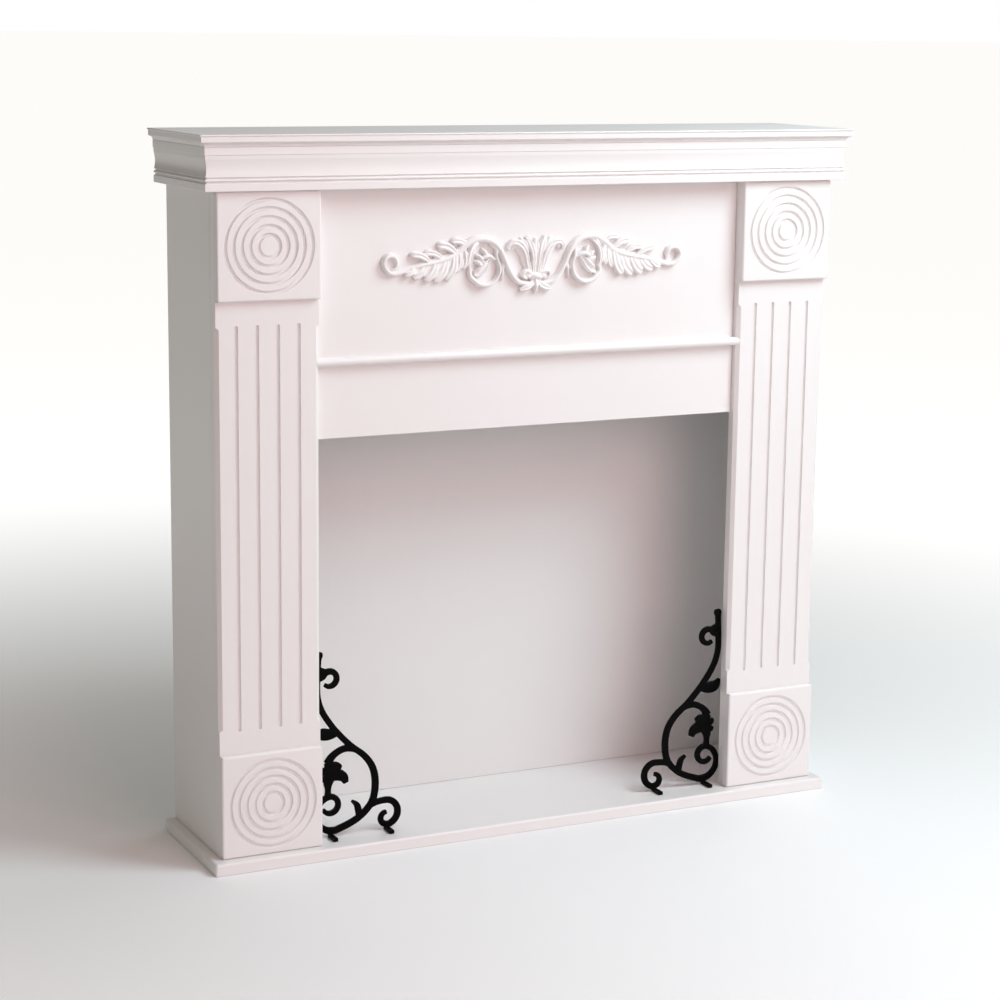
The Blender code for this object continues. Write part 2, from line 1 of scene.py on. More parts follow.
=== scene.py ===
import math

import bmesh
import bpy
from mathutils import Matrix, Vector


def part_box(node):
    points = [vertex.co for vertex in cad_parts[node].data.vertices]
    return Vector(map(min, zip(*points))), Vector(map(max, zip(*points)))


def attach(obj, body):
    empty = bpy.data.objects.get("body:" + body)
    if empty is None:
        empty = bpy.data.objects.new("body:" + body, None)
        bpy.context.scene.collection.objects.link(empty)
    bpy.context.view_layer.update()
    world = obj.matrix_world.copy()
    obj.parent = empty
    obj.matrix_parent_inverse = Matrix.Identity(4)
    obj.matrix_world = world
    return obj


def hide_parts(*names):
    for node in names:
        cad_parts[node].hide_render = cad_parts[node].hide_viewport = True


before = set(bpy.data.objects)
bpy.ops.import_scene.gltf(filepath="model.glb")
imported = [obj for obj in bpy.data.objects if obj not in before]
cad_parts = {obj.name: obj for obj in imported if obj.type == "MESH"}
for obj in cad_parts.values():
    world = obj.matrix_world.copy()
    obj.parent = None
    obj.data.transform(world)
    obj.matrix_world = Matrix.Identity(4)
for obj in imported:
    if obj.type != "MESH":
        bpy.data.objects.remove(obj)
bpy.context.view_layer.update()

# %% [markdown]
# # A painted fireplace surround
#
# This surround is joinery: flat boards, run mouldings, four turned corner blocks, one applied
# carving, and two iron scrolls that stand in the opening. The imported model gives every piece
# its place and size. Here each piece gets the shape and the finish that the eye sees, and its
# box is noted first, so that nothing grows while it is being dressed.

MM = 0.001
GAP = 0.3 * MM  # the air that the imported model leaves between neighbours
HAIR = 1e-6  # what lies closer together than this is in one place
SIDES = (("left", -1), ("right", 1))

shaft_low, shaft_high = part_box("pilaster_left")
SHAFT_PLANE = shaft_low.y
CARCASS_HALF = -shaft_low.x
PILASTER_INNER = -shaft_high.x
PILASTER_BACK = shaft_high.y
PILASTER_CENTRE = (CARCASS_HALF + PILASTER_INNER) / 2
NOSING_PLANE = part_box("shelf_board")[0].y
BACK_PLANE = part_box("shelf_board")[1].y
SHELF_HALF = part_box("shelf_board")[1].x
FRIEZE_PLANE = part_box("frieze_board")[0].y
print("shaft face", round(SHAFT_PLANE, 4), "frieze face", round(FRIEZE_PLANE, 4),
      "shelf edge", round(NOSING_PLANE, 4))

# %% [markdown]
# The photograph looks at the left front corner from a little above. A long lens keeps the
# uprights almost parallel, so the camera is set by its place, its lens and three turns, and
# needs no shift.

# %% Set up the camera
YAW, PITCH, ROLL = (math.radians(angle) for angle in (26.019, 11.059, 0.688))
CAMERA_PLACE = (-1.524, -3.0944, 1.1411)
LENS_LENGTH = 87.294
SENSOR_WIDTH = 36

forward = Vector((math.sin(YAW) * math.cos(PITCH), math.cos(YAW) * math.cos(PITCH),
                  -math.sin(PITCH)))
level_right = Vector((math.cos(YAW), -math.sin(YAW), 0))
level_up = level_right.cross(forward)
right = level_right * math.cos(ROLL) + level_up * math.sin(ROLL)
up = level_up * math.cos(ROLL) - level_right * math.sin(ROLL)

camera_data = bpy.data.cameras.new("photo_camera")
camera_data.lens = LENS_LENGTH
camera_data.sensor_width = SENSOR_WIDTH
camera = bpy.data.objects.new("photo_camera", camera_data)
facing = Matrix((right, up, -forward)).transposed().to_4x4()
camera.matrix_world = Matrix.Translation(CAMERA_PLACE) @ facing
bpy.context.scene.collection.objects.link(camera)
bpy.context.scene.camera = camera
print("camera stands", round(camera.location.length, 2), "m from the origin")

# %% [markdown]
# Every new piece ends the same way: doubles merged, faces turned outwards, smooth shading with
# crisp corners, and weighted normals, so that a big flat board isn't shaded by the small round
# on its edge. It then rides on the frame's one body and stands for its node.

# %% How a piece is finished
def stand_up(bm, name):
    """Turn a bmesh into an object of the scene."""
    mesh = bpy.data.meshes.new(name)
    bm.to_mesh(mesh)
    bm.free()
    item = bpy.data.objects.new(name, mesh)
    bpy.context.scene.collection.objects.link(item)
    return item


def finish_piece(bm, name, slot, material, *nodes, sharp=38):
    """Make a bmesh into one finished piece that stands for the given nodes."""
    bmesh.ops.remove_doubles(bm, verts=bm.verts[:], dist=2 * HAIR)
    bmesh.ops.recalc_face_normals(bm, faces=bm.faces[:])
    piece = stand_up(bm, name)
    mesh = piece.data
    mesh.shade_smooth()
    mesh.set_sharp_from_angle(angle=math.radians(sharp))
    mesh.materials.append(material)
    even = piece.modifiers.new("even_shading", "WEIGHTED_NORMAL")
    even.keep_sharp = True
    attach(piece, "root")
    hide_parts(*nodes)
    print(name, "has", len(mesh.polygons), "faces")

# %% [markdown]
# Joinery is sawn, routed and run. These helpers do the same to a bmesh: draw an outline point
# by point, pull a face along, saw through a plane, and take a cutter's shape out of the work.

# %% The joiner's operations
def pick(items, kind):
    """The vertices, edges or faces among the items that an operator gives back."""
    return [item for item in items if isinstance(item, kind)]


def draw(bm, points):
    """Closed outline, each corner extruded from the one before, filled to a face."""
    first = last = bm.verts.new(points[0])
    edges = []
    for point in points[1:]:
        grown = bmesh.ops.extrude_vert_indiv(bm, verts=[last])
        last = grown["verts"][0]
        last.co = point
        edges.append(grown["edges"][0])
    edges.append(bm.edges.new((last, first)))
    return bmesh.ops.edgeloop_fill(bm, edges=edges)["faces"][0]


def pull(bm, face, change):
    """Extrude one face, move the new one by a vector or a matrix, and return it."""
    grown = bmesh.ops.extrude_face_region(bm, geom=[face])["geom"]
    verts = pick(grown, bmesh.types.BMVert)
    if isinstance(change, Matrix):
        bmesh.ops.transform(bm, matrix=change, verts=verts)
    else:
        bmesh.ops.translate(bm, vec=change, verts=verts)
    return pick(grown, bmesh.types.BMFace)[0]


def split_off(bm, point, away):
    """Drop the side of a plane that away points to, and return the open cut's edges."""
    geom = bm.verts[:] + bm.edges[:] + bm.faces[:]
    cut = bmesh.ops.bisect_plane(bm, geom=geom, dist=1e-7, plane_co=point, plane_no=away,
                                 clear_outer=True)
    return pick(cut["geom_cut"], bmesh.types.BMEdge)


def saw(bm, point, away):
    """Saw through a plane and close the cut with one face."""
    bmesh.ops.edgeloop_fill(bm, edges=split_off(bm, point, away))


def borrow(bm, name):
    """Lend a bmesh to a short-lived object, for a modifier to work on."""
    bmesh.ops.recalc_face_normals(bm, faces=bm.faces[:])
    return stand_up(bm, name)


def take_back(item, *others):
    """The shape that an object's modifiers give, as a bmesh, with the objects cleared away."""
    shape = bmesh.new()
    shape.from_object(item, bpy.context.evaluated_depsgraph_get())
    for used in (item, *others):
        mesh = used.data
        bpy.data.objects.remove(used)
        bpy.data.meshes.remove(mesh)
    return shape


def cut_out(bm, cutter):
    """Take the cutter's volume out of the work."""
    work = borrow(bm, "work")
    tool = borrow(cutter, "tool")
    cut = work.modifiers.new("cut", "BOOLEAN")
    cut.operation = "DIFFERENCE"
    cut.solver = "EXACT"
    cut.object = tool
    return take_back(work, tool)


def block_between(bm, low, high):
    """Add a box between two corners."""
    low, high = Vector(low), Vector(high)
    verts = bmesh.ops.create_cube(bm, size=1.0)["verts"]
    bmesh.ops.scale(bm, vec=high - low, verts=verts)
    bmesh.ops.translate(bm, vec=(low + high) / 2, verts=verts)


def round_edges(bm, edges, radius, segments=3):
    """Roll the given edges, as paint and sandpaper do."""
    bmesh.ops.bevel(bm, geom=edges, offset=radius, segments=segments, profile=0.5,
                    affect="EDGES", material=-1, clamp_overlap=True)


def arc(centre, radius, start, end, count):
    """Points along part of a circle, in degrees."""
    turns = [math.radians(start + (end - start) * step / (count - 1))
             for step in range(count)]
    return [(centre[0] + radius * math.cos(turn), centre[1] + radius * math.sin(turn))
            for turn in turns]

# %% [markdown]
# Paint isn't one flat colour: it lies in a slightly uneven film. The shader maths is written as
# plain sums, with one small class that turns each sum on a socket into a Math node.

# %% Write shader maths as sums
class Wire:
    """One output socket, on which Python's operators add Math nodes."""

    def __init__(self, finish, socket):
        self.finish = finish
        self.socket = socket

    def maths(self, operation, first, second):
        return self.finish.node("ShaderNodeMath", {"operation": operation},
                                {0: first, 1: second})

    def __add__(self, other):
        return self.maths("ADD", self, other)

    def __sub__(self, other):
        return self.maths("SUBTRACT", self, other)

    def __rsub__(self, other):
        return self.maths("SUBTRACT", other, self)

    def __mul__(self, other):
        return self.maths("MULTIPLY", self, other)

    __radd__ = __add__
    __rmul__ = __mul__


class Finish:
    """A material under construction, built round its Principled shader."""

    def __init__(self, name):
        self.material = bpy.data.materials.new(name)
        self.material.use_nodes = True
        self.tree = self.material.node_tree
        self.shader = self.tree.nodes["Principled BSDF"]
        self.place = self.node("ShaderNodeTexCoord", output="Object")

    def plug(self, socket, value):
        if isinstance(value, Wire):
            self.tree.links.new(value.socket, socket)
        else:
            socket.default_value = value

    def node(self, kind, settings=None, sockets=None, output=0):
        """Add a node: its settings first, then the values or links of its sockets."""
        node = self.tree.nodes.new(kind)
        for name, value in (settings or {}).items():
            setattr(node, name, value)
        for key, value in (sockets or {}).items():
            self.plug(node.inputs[key], value)
        return Wire(self, node.outputs[output])

    def noise(self, scale, detail, roughness):
        """A cloudy pattern, so many clouds to the metre."""
        return self.node("ShaderNodeTexNoise", None,
                         {"Vector": self.place, "Scale": scale, "Detail": detail,
                          "Roughness": roughness})

    def blend(self, share, first, second):
        """Mix two colours by a share."""
        return self.node("ShaderNodeMix", {"data_type": "RGBA"},
                         {0: share, 6: first, 7: second}, output=2)

    def bump(self, height, depth):
        """Feed a height pattern, so many metres deep, to the shader's normal."""
        normal = self.node("ShaderNodeBump", None,
                           {"Height": height, "Distance": depth, "Strength": 1.0})
        self.set("Normal", normal)

    def set(self, socket, value):
        """Give one of the shader's own sockets a value or a link."""
        self.plug(self.shader.inputs[socket], value)

# %% [markdown]
# The white is a sprayed satin lacquer on board. It is a touch warm, has a film that pools by a
# few hundredths here and there, and shows the fine dimple that a spray gun leaves. The thin
# back sheet gets a flatter coat, whose darker, cooler white is painted shade inside the opening.

# %% Mix the white finishes
CLOUD_SCALE = 7.0
SPRAY_SCALE = 900.0


def white_lacquer(name, light, deep, roughness, dimple):
    """Satin white paint: two close whites, uneven sheen and a sprayed dimple."""
    coat = Finish(name)
    cloud = coat.noise(CLOUD_SCALE, 4.0, 0.6)
    spray = coat.noise(SPRAY_SCALE, 2.0, 0.5)
    coat.set("Base Color", coat.blend(cloud * 0.7 + spray * 0.3, (*deep, 1), (*light, 1)))
    coat.set("Roughness", roughness + (cloud - 0.5) * 0.12 + (spray - 0.5) * 0.06)
    coat.set("Specular IOR Level", 0.5)
    coat.bump(spray, dimple)
    return coat.material


BOARD_WHITE = white_lacquer("satin_white", light=(0.875, 0.855, 0.85),
                            deep=(0.85, 0.825, 0.82), roughness=0.33, dimple=0.00004)
CARVED_WHITE = white_lacquer("carved_white", light=(0.90, 0.88, 0.875),
                             deep=(0.87, 0.845, 0.84), roughness=0.34, dimple=0.00006)
# darker and cooler than the board white: painted shade for the back of the opening
SHADED_SHEET_WHITE = white_lacquer("back_sheet_painted_shade", light=(0.84, 0.85, 0.845),
                            deep=(0.82, 0.83, 0.825), roughness=0.5, dimple=0.00003)
print("whites mixed:", BOARD_WHITE.name, CARVED_WHITE.name, SHADED_SHEET_WHITE.name)

# %% [markdown]
# The scrolls are cast iron under matt black. What little light they give back comes from the
# grainy skin of the casting, so a fine grain roughens the sheen, and a slower mottle shifts the
# black and lets a little metal through.

# %% Mix the black iron
iron = Finish("black_iron")
grain = iron.noise(420.0, 4.0, 0.65)
skin = iron.noise(45.0, 3.0, 0.5)
SOOT, WORN_BLACK = (0.0008, 0.0008, 0.001, 1), (0.003, 0.0028, 0.003, 1)
iron.set("Base Color", iron.blend(skin, SOOT, WORN_BLACK))
iron.set("Roughness", 0.5 + (grain - 0.5) * 0.3)
iron.set("Metallic", 0.1 + skin * 0.2)
iron.set("Specular IOR Level", 0.06)
iron.bump(grain * 0.6 + skin * 0.4, 0.0003)
BLACK_IRON = iron.material
print("black mixed:", BLACK_IRON.name)

# %% [markdown]
# The plain boards come first: plinth, two sides, the back sheet and the frieze. A painted board
# never has a knife edge, so each is a box whose edges are rolled by the bevel operator, the
# plinth's most of all, because feet and brooms meet it.

# %% Dress the plain boards
PLINTH_ROUND = 3.5 * MM
PLINTH_EASE = 1.4 * MM


def dress_board(node, radius, material):
    bm = bmesh.new()
    block_between(bm, *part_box(node))
    round_edges(bm, bm.edges[:], radius)
    finish_piece(bm, node + "_dressed", "white_paint", material, node)


def dress_plinth():
    """The plinth board: well rounded above, eased below, and left square at the back."""
    low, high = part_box("base_board")
    bm = bmesh.new()
    block_between(bm, low, high)
    show = [edge for edge in bm.edges
            if any(vert.co.z > low.z + GAP for vert in edge.verts)
            and any(vert.co.y < high.y - GAP for vert in edge.verts)]
    round_edges(bm, show, PLINTH_ROUND, 6)
    under = [edge for edge in bm.edges
             if all(vert.co.z < low.z + GAP for vert in edge.verts)
             and any(vert.co.y < high.y - GAP for vert in edge.verts)]
    round_edges(bm, under, PLINTH_EASE)
    finish_piece(bm, "base_board_dressed", "white_paint", BOARD_WHITE, "base_board")


dress_plinth()
dress_board("side_panel_left", 0.7 * MM, BOARD_WHITE)
dress_board("side_panel_right", 0.7 * MM, BOARD_WHITE)
dress_board("back_panel", 0.5 * MM, SHADED_SHEET_WHITE)
dress_board("frieze_board", 0.6 * MM, BOARD_WHITE)

# %% [markdown]
# Each pilaster is one board with four flutes and a chamfer down both edges. A core-box bit cuts
# the flutes, so a flute is a ball that is stretched twice: along the board, into a round trough,
# and out through the face, into straight walls. The chamfers stop short of the blocks and run
# out in a curve, as the bit lifts.

# %% Rout the pilasters
FLUTE_COUNT = 4
FLUTE_PITCH = 0.0295
FLUTE_WIDTH = 0.0050
FLUTE_DEPTH = 0.0040
FLUTE_STOP = 0.032
CHAMFER = 0.005
CHAMFER_STOP = 0.038
CHAMFER_RUNOUT = 0.005
RUNOUT_STEPS = 7
ARRIS_ROUND = 0.6 * MM
CLEAR = 0.001  # how far a cutter reaches past the work
SHAFT_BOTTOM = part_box("rosette_block_lower_left")[1].z
SHAFT_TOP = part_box("rosette_block_upper_left")[0].z


def add_flute(bm, centre):
    """A ball, stretched along the board and out through its face, as a core-box bit cuts."""
    radius = FLUTE_WIDTH / 2
    low = SHAFT_BOTTOM + FLUTE_STOP + radius
    high = SHAFT_TOP - FLUTE_STOP - radius
    ball = bmesh.ops.create_uvsphere(bm, u_segments=28, v_segments=15, radius=radius)["verts"]
    upper = [vert for vert in ball if vert.co.z > 0]
    outer = [vert for vert in ball if vert.co.y < HAIR]
    place = (centre, SHAFT_PLANE + FLUTE_DEPTH - radius, low)
    bmesh.ops.translate(bm, vec=(0, 0, high - low), verts=upper)
    bmesh.ops.translate(bm, vec=(0, -FLUTE_DEPTH, 0), verts=outer)
    bmesh.ops.translate(bm, vec=place, verts=ball)


def add_chamfer(bm, edge, inward):
    """A prism outside the chamfer's face, whose depth eases away over the run-out."""
    low = SHAFT_BOTTOM + CHAMFER_STOP
    high = SHAFT_TOP - CHAMFER_STOP
    profile = []
    for step in range(RUNOUT_STEPS + 1):
        share = step / RUNOUT_STEPS
        profile.append((low - CHAMFER_RUNOUT * (1 - share),
                        CHAMFER * math.sin(share * math.pi / 2)))
    profile += [(high + low - level, depth) for level, depth in reversed(profile)]
    profile += [(profile[-1][0], -4 * CLEAR), (profile[0][0], -4 * CLEAR)]
    arris = Vector((edge, SHAFT_PLANE, 0))
    into = Vector((inward, 1, 0)) / 2
    along = Vector((inward, -1, 0)) * (CHAMFER + CLEAR)
    face = draw(bm, [arris + into * depth + Vector((0, 0, level)) - along
                     for level, depth in profile])
    pull(bm, face, 2 * along)


for side, sign in SIDES:
    node = "pilaster_" + side
    low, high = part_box(node)
    bm = bmesh.new()
    block_between(bm, low, high)
    uprights = [edge for edge in bm.edges
                if abs(edge.verts[0].co.z - edge.verts[1].co.z) > GAP]
    round_edges(bm, uprights, ARRIS_ROUND)
    cutter = bmesh.new()
    for index in range(FLUTE_COUNT):
        shift = (index - (FLUTE_COUNT - 1) / 2) * FLUTE_PITCH
        add_flute(cutter, sign * PILASTER_CENTRE + shift)
    add_chamfer(cutter, low.x, 1)
    add_chamfer(cutter, high.x, -1)
    finish_piece(cut_out(bm, cutter), node + "_routed", "white_paint", BOARD_WHITE, node,
                 sharp=30)

# %% [markdown]
# The corner blocks carry five rings. On the lathe the whole face would be turned at once, so it
# is made that way: one radius of the face, with the hollows drawn in it, is spun round the
# block's middle. The rim is then drawn out to the square block, and its edge rounded over.

# %% Turn the rosette blocks
RING_COUNT = 5
RING_OUTER_RADIUS = 0.0615
RING_PITCH = 0.0116
RING_WIDTH = 0.0047
RING_DEPTH = 0.0034
RING_LIP = 0.0008
TROUGH_STEPS = 11
BLOCK_ROUND = 0.003
TURN_STEPS = 128


def ring_radius_line():
    """The block's face along one radius, as (radius, depth) from the middle outwards."""
    half = RING_WIDTH / 2
    hollow = (half * half + RING_DEPTH * RING_DEPTH) / (2 * RING_DEPTH)
    start = math.degrees(math.acos(half / hollow)) + 8
    dip = RING_LIP * 0.12
    line = []
    for index in reversed(range(RING_COUNT)):
        middle = RING_OUTER_RADIUS - index * RING_PITCH
        line.append((middle - half - RING_LIP, 0.0))
        line.append((middle - half - RING_LIP * 0.35, dip))
        line += arc((middle, RING_DEPTH - hollow), hollow, 180 - start, start, TROUGH_STEPS)
        line.append((middle + half + RING_LIP * 0.35, dip))
        line.append((middle + half + RING_LIP, 0.0))
    return line


def turn_block(node):
    """One block: its face spun from the radius line, its rim drawn out square and back."""
    low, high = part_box(node)
    centre = (low + high) / 2
    bm = bmesh.new()
    last = bm.verts.new((centre.x, low.y, centre.z))
    chain = [last]
    for radius, depth in ring_radius_line():
        grown = bmesh.ops.extrude_vert_indiv(bm, verts=[last])
        last = grown["verts"][0]
        last.co = (centre.x + radius, low.y + depth, centre.z)
        chain += [last, grown["edges"][0]]
    bmesh.ops.spin(bm, geom=chain, cent=centre, axis=(0, 1, 0), angle=2 * math.pi,
                   steps=TURN_STEPS, use_merge=True, use_duplicate=False)
    bmesh.ops.remove_doubles(bm, verts=bm.verts[:], dist=HAIR)
    half = Vector(((high.x - low.x) / 2, 0, (high.z - low.z) / 2))
    for level in (low.y, high.y):
        rim = [edge for edge in bm.edges if edge.is_boundary]
        grown = bmesh.ops.extrude_edge_only(bm, edges=rim)["geom"]
        for vert in pick(grown, bmesh.types.BMVert):
            arm = vert.co - centre
            reach = min(half.x / max(abs(arm.x), 1e-9), half.z / max(abs(arm.z), 1e-9))
            vert.co = (centre.x + arm.x * reach, level, centre.z + arm.z * reach)
    rim = [edge for edge in bm.edges if edge.is_boundary]
    bmesh.ops.edgeloop_fill(bm, edges=rim)
    bmesh.ops.recalc_face_normals(bm, faces=bm.faces[:])

    def at_front_rim(vert):
        reach = max(abs(vert.co.x - centre.x) / half.x, abs(vert.co.z - centre.z) / half.z)
        return abs(vert.co.y - low.y) < HAIR and reach > 0.9999

    front = [edge for edge in bm.edges if all(at_front_rim(vert) for vert in edge.verts)]
    round_edges(bm, front, BLOCK_ROUND, 6)
    finish_piece(bm, node + "_turned", "white_paint", BOARD_WHITE, node, sharp=50)


for level in ("upper", "lower"):
    for side in ("left", "right"):
        turn_block(f"rosette_block_{level}_{side}")

# %% [markdown]
# A round-nosed bead crosses the frieze. It is run as one length and coped at both ends, so that
# it fits over the pilasters' chamfers: the two small cutters are the room that a pilaster
# needs.

# %% Run the bead
low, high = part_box("frieze_bead")
radius = (high.z - low.z) / 2
middle = (high.z + low.z) / 2
nose = arc((low.y + radius, middle), radius, 270, 90, 25)
section = [(high.y, low.z), *nose, (high.y, high.z)]
bm = bmesh.new()
face = draw(bm, [(low.x, y, z) for y, z in section])
pull(bm, face, (high.x - low.x, 0, 0))
cutter = bmesh.new()
for sign in (-1, 1):
    inner = sign * (PILASTER_INNER - GAP)
    outer = sign * (high.x + CLEAR)
    lean = CHAMFER - GAP * math.sqrt(2)
    outline = [(inner, SHAFT_PLANE + CHAMFER), (inner, PILASTER_BACK), (outer, PILASTER_BACK),
               (outer, SHAFT_PLANE - CLEAR),
               (sign * (PILASTER_INNER + lean + CLEAR), SHAFT_PLANE - CLEAR)]
    face = draw(cutter, [(x, y, low.z - CLEAR) for x, y in outline])
    pull(cutter, face, (0, 0, high.z - low.z + 2 * CLEAR))
finish_piece(cut_out(bm, cutter), "frieze_bead_run", "white_paint", BOARD_WHITE, "frieze_bead")

# %% [markdown]
# The shelf's edge is moulded round three sides: a thin half-round nosing, a flat lip below it,
# and a hollow that tucks under. A moulding that returns round corners is easiest as storeys:
# each storey is extruded from the one above and pushed in on the three show sides only.

# %% Mould the shelf
NOSING_HEIGHT = 0.0025
LIP_HEIGHT = 0.0085
LIP_STEP = 0.0014
LIP_ROUND = 0.0022
UNDERCUT_HEIGHT = 0.005
UNDERCUT_STEP = 0.0063
HOLLOW_STEPS = 8


def shelf_storeys():
    """The shelf's edge from the top down, as (drop, inset) pairs."""
    half = NOSING_HEIGHT / 2
    edge = [(half - half * math.sin(turn), half - half * math.cos(turn))
            for turn in (math.radians(angle) for angle in range(90, -91, -15))]
    lip_bottom = NOSING_HEIGHT + LIP_HEIGHT
    edge += [(NOSING_HEIGHT + 0.1 * MM, LIP_STEP), (lip_bottom - LIP_ROUND, LIP_STEP)]
    for turn in (math.radians(angle) for angle in (15, 30, 45, 60)):
        edge.append((lip_bottom - LIP_ROUND * (1 - math.sin(turn)),
                     LIP_STEP + LIP_ROUND * (1 - math.cos(turn))))
    drop, inset = edge[-1]
    deeper = lip_bottom + UNDERCUT_HEIGHT - drop
    further = LIP_STEP + UNDERCUT_STEP - inset
    for step in range(1, HOLLOW_STEPS + 1):
        turn = math.pi / 2 * step / HOLLOW_STEPS
        edge.append((drop + deeper * (1 - math.cos(turn)), inset + further * math.sin(turn)))
    return edge


top_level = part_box("shelf_board")[1].z
bm = bmesh.new()
storeys = shelf_storeys()
drop, inset = storeys[0]
reach, front, level = SHELF_HALF - inset, NOSING_PLANE + inset, top_level - drop
face = draw(bm, [(-reach, front, level), (reach, front, level),
                 (reach, BACK_PLANE, level), (-reach, BACK_PLANE, level)])
for drop, inset in storeys[1:]:
    face = pull(bm, face, (0, 0, 0))
    for vert in face.verts:
        vert.co.x = math.copysign(SHELF_HALF - inset, vert.co.x)
        vert.co.z = top_level - drop
        if vert.co.y < 0:
            vert.co.y = NOSING_PLANE + inset
finish_piece(bm, "shelf_board_moulded", "white_paint", BOARD_WHITE, "shelf_board", sharp=32)

# %% [markdown]
# Below the shelf runs the cornice moulding: a flat fascia, a small fillet, a long shallow cove,
# then a bead between two dark quirks and a flat foot. It is run as one straight length for the
# front and one for each side, and the three are sawn at 45 degrees where they meet.

# %% Run and mitre the cornice
FASCIA_HEIGHT = 0.011
FILLET_HEIGHT = 0.006
FILLET_INSET = 0.0092
COVE_HEIGHT = 0.022
COVE_SAGITTA = 0.0015
QUIRK_HEIGHT = 0.0025
QUIRK_INSET = 0.0114
ASTRAGAL_HEIGHT = 0.0035
FOOT_INSET = 0.0084
GROOVE_HEIGHT = 0.0025
GROOVE_INSET = 0.0109
FOOT_HEIGHT = 0.010
FASCIA_INSET = LIP_STEP + UNDERCUT_STEP
COVE_STEPS = 16
EASE = 0.4 * MM  # how far the small arrises are set back


def cornice_edge(top):
    """The moulding's face from the top down, as (inset, level) pairs."""
    level = top + GAP - FASCIA_HEIGHT
    edge = [(FASCIA_INSET, top), (FASCIA_INSET, level + 1.2 * MM),
            (FASCIA_INSET + 0.3 * MM, level + EASE), (FASCIA_INSET + 1.0 * MM, level)]
    edge += [(FILLET_INSET - EASE, level - FILLET_HEIGHT * 0.3),
             (FILLET_INSET - EASE, level - FILLET_HEIGHT * 0.75)]
    level -= FILLET_HEIGHT
    for share in (step / COVE_STEPS for step in range(COVE_STEPS + 1)):
        edge.append((FILLET_INSET + COVE_SAGITTA * math.sin(math.pi * share),
                     level - COVE_HEIGHT * share))
    level -= COVE_HEIGHT
    edge += [(QUIRK_INSET, level - QUIRK_HEIGHT * 0.35),
             (QUIRK_INSET, level - QUIRK_HEIGHT * 0.7)]
    level -= QUIRK_HEIGHT
    half = ASTRAGAL_HEIGHT / 2
    edge += [(FOOT_INSET + half - x, level - half + z)
             for x, z in arc((0, 0), half, 90, -90, 13)]
    level -= ASTRAGAL_HEIGHT
    edge += [(GROOVE_INSET, level - GROOVE_HEIGHT * 0.2),
             (GROOVE_INSET, level - GROOVE_HEIGHT * 0.8)]
    level -= GROOVE_HEIGHT
    edge += [(FOOT_INSET + EASE, level), (FOOT_INSET, level - 0.5 * MM)]
    level -= FOOT_HEIGHT
    edge += [(FOOT_INSET, level + 0.6 * MM), (FOOT_INSET + EASE, level)]
    return edge


def close_behind(edge, back):
    """The moulding's whole section: its face, and two corners on its flat back."""
    return edge + [(back, edge[-1][1]), (back, edge[0][1])]


low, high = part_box("cornice_front")
moulding = cornice_edge(high.z)
section = close_behind(moulding, high.y - NOSING_PLANE)
bm = bmesh.new()
face = draw(bm, [(-SHELF_HALF, NOSING_PLANE + inset, level) for inset, level in section])
pull(bm, face, (2 * SHELF_HALF, 0, 0))
for sign in (-1, 1):
    corner = Vector((sign * (SHELF_HALF - GAP / math.sqrt(2)), NOSING_PLANE, 0))
    saw(bm, corner, Vector((sign, 1, 0)).normalized())
finish_piece(bm, "cornice_front_run", "white_paint", BOARD_WHITE, "cornice_front", sharp=32)

for side, sign in SIDES:
    node = "cornice_" + side
    low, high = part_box(node)
    section = close_behind(moulding, SHELF_HALF - min(abs(low.x), abs(high.x)))
    bm = bmesh.new()
    face = draw(bm, [(sign * (SHELF_HALF - inset), NOSING_PLANE, level)
                     for inset, level in section])
    pull(bm, face, (0, BACK_PLANE - NOSING_PLANE, 0))
    corner = Vector((sign * SHELF_HALF, NOSING_PLANE + GAP / math.sqrt(2), 0))
    saw(bm, corner, Vector((-sign, -1, 0)).normalized())
    finish_piece(bm, node + "_run", "white_paint", BOARD_WHITE, node, sharp=32)

# %% [markdown]
# The carving and the iron are both drawn with a pen that changes width: a smooth line, and how
# wide the stroke is along it. A station stands at each step of the line, and one outline is
# extruded from station to station. The strokes overlap, and a fine voxel remesh then fuses them
# into one body and rolls the joints, as a carver's gouge or a mould would.

# %% Sweep strokes and fuse them
SPAN_STEPS = 5


def smooth_line(points):
    """A smooth curve through the points, with SPAN_STEPS steps from each to the next."""
    places = [Vector(point) for point in points]
    padded = [2 * places[0] - places[1]] + places + [2 * places[-1] - places[-2]]
    line = []
    for before, start, end, after in zip(padded, padded[1:], padded[2:], padded[3:]):
        for t in (step / SPAN_STEPS for step in range(SPAN_STEPS)):
            line.append(0.5 * (2 * start + (end - before) * t
                               + (2 * before - 5 * start + 4 * end - after) * t * t
                               + (3 * start - before - 3 * end + after) * t ** 3))
    line.append(places[-1])
    return line


def even_values(values, count):
    """The given values spread evenly over count stations."""
    result = []
    for index in range(count):
        place = (len(values) - 1) * index / (count - 1)
        first = min(int(place), len(values) - 2)
        result.append(values[first] + (values[first + 1] - values[first]) * (place - first))
    return result


def to_metres(points, widths, place):
    """A stroke drawn in millimetres, as (across, up, half width) where place puts it."""
    return [(*place(across, rise), width * MM)
            for (across, rise), width in zip(points, even_values(widths, len(points)))]


def sweep(bm, line, outline, thickness, depth):
    """Extrude an outline along a line of (across, up, half width) stations.

    The outline is in shares: of the half width across, and of the thickness outwards.
    """
    stations = []
    last = len(line) - 1
    for index, place in enumerate(line):
        ahead = line[min(index + 1, last)] - line[max(index - 1, 0)]
        along = Vector((ahead.x, 0, ahead.y)).normalized()
        across = Vector((-along.z, 0, along.x)) * place.z
        out = Vector((0, -1, 0)) * thickness(index / last)
        matrix = Matrix((across, out, along)).transposed().to_4x4()
        stations.append(Matrix.Translation((place.x, depth, place.y)) @ matrix)
    face = draw(bm, [stations[0] @ Vector((u, v, 0)) for u, v in outline])
    for here, there in zip(stations, stations[1:]):
        face = pull(bm, face, there @ here.inverted())


